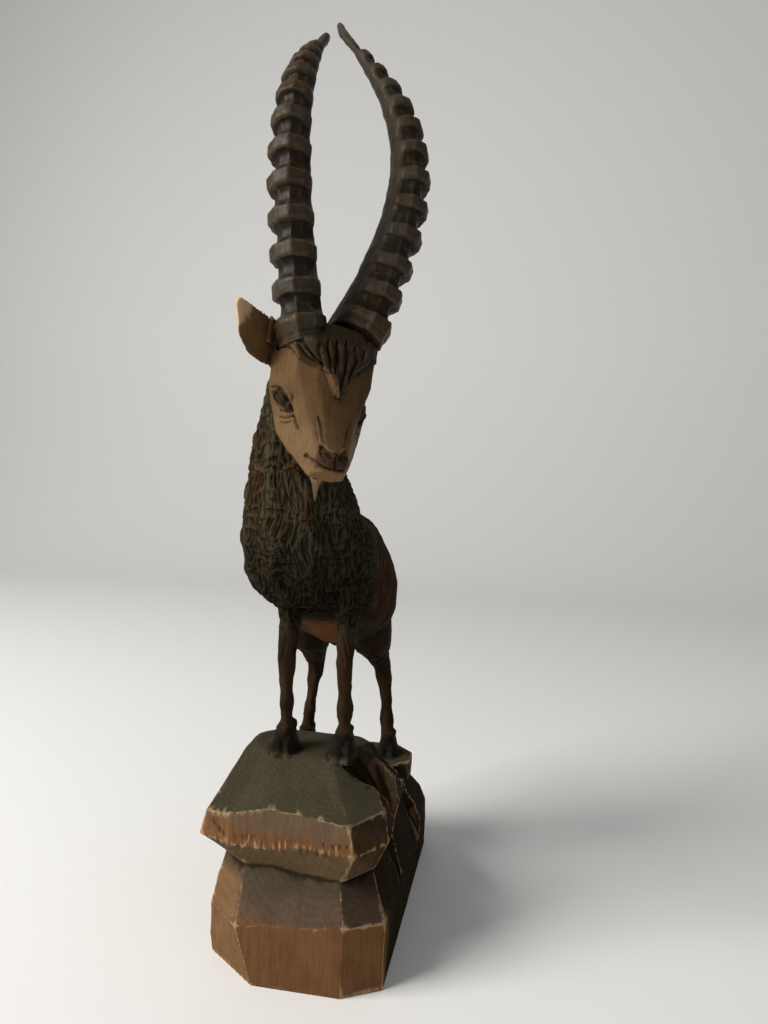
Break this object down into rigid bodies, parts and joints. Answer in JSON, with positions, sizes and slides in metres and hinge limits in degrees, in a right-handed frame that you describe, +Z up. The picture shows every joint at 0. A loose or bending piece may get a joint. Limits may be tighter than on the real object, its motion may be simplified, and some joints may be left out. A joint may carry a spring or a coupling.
{
  "type": "carved ibex sculpture",
  "caption": "Carved wooden ibex standing on a knife-cut rock with an undercut ledge, its long ridged horns glued into the skull.",
  "frame": {"origin": "middle of the sawn underside of the rock", "axes": "+Z up, +Y from the front face of the rock to its back, +X to the animal's left side"},
  "size_m": [0.0838, 0.1491, 0.4375],
  "materials": {
    "stained_wood": "dark stained and waxed lime wood, satin, with paler rubbed edges and fine grain",
    "horn_wood": "dark grey-brown stained lime wood, satin, with paler rubbed knob edges"
  },
  "bodies": {
    "root": {"ibex_on_rock": "stained_wood", "right_horn": "horn_wood", "left_horn": "horn_wood"}
  },
  "joints": []
}
